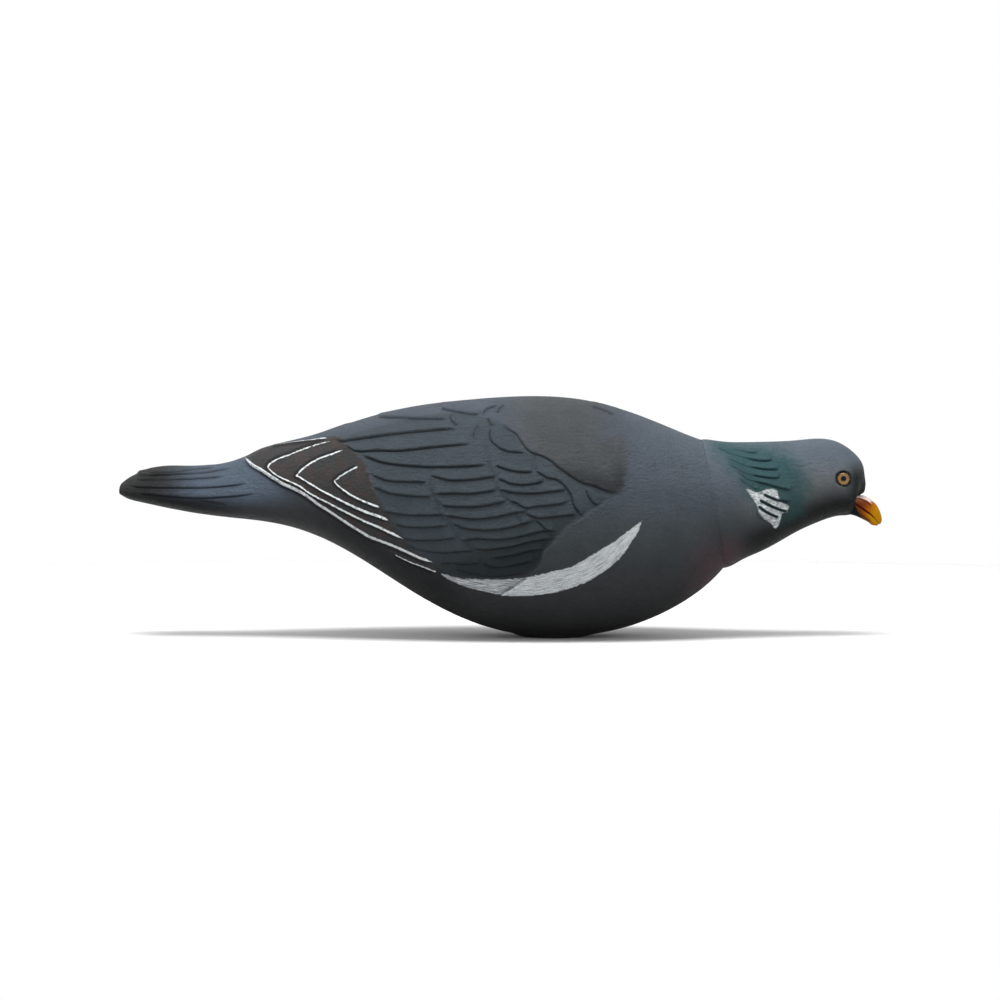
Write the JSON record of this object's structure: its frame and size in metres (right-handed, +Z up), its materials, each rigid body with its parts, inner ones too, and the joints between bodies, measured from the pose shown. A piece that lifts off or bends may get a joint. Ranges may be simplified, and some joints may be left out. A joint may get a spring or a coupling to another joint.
{
  "type": "wood pigeon decoy",
  "caption": "Hollow full-body wood pigeon decoy in a feeding pose, with a turning head and a belly socket that swivels on a ground stake.",
  "frame": {"origin": "centre of the stake bore's mouth, on the flat pad under the belly", "axes": "+X towards the beak, +Z up, away from the stake; the bird is symmetric about the XZ plane"},
  "size_m": [0.4043, 0.1242, 0.127],
  "materials": {
    "body_paint": "matt airbrushed paint over a moulded feather texture: slate grey wings, brown-black flight feathers, white wing edges, dark tail end",
    "head_paint": "matt airbrushed paint: slate grey head, green sheen and a white patch on the neck, wine-pink breast edge",
    "beak_paint": "satin paint: pink-red root, pale cere, yellow-orange tip",
    "iris_paint": "pale amber iris with a black pupil",
    "eye_lens": "clear glossy dome",
    "bearing_plastic": "natural low-friction plastic, moulded",
    "black_plastic": "black moulded plastic with a fine grain",
    "friction_rubber": "matt black rubber",
    "steel": "zinc-plated steel"
  },
  "bodies": {
    "stake_bush": {"swivel_bush": "bearing_plastic"},
    "decoy_body": {"left_body_shell": "body_paint", "right_body_shell": "body_paint", "neck_collar": "bearing_plastic", "stop_pin": "steel", "friction_ring": "friction_rubber", "stake_housing": "black_plastic", "thrust_washer": "bearing_plastic", "belly_plate": "black_plastic", "belly_plate_screws": "steel"},
    "head": {"left_head_shell": "head_paint", "right_head_shell": "head_paint", "upper_beak": "beak_paint", "lower_beak": "beak_paint", "left_eye_disc": "iris_paint", "right_eye_disc": "iris_paint", "left_eye_lens": "eye_lens", "right_eye_lens": "eye_lens", "neck_spigot": "bearing_plastic", "spigot_plate_screws": "steel", "spigot_washer": "bearing_plastic", "spigot_screw": "steel"}
  },
  "joints": [
    {"name": "body_swivel", "type": "hinge", "parent": "stake_bush", "child": "decoy_body", "pos_m": [0, 0, 0], "axis": [0, 0, 1], "continuous": true},
    {"name": "head_turn", "type": "hinge", "parent": "decoy_body", "child": "head", "pos_m": [0.08445, 0, 0.06985], "axis": [0.9856, 0, 0.1693], "range_deg": [-40, 40]}
  ]
}
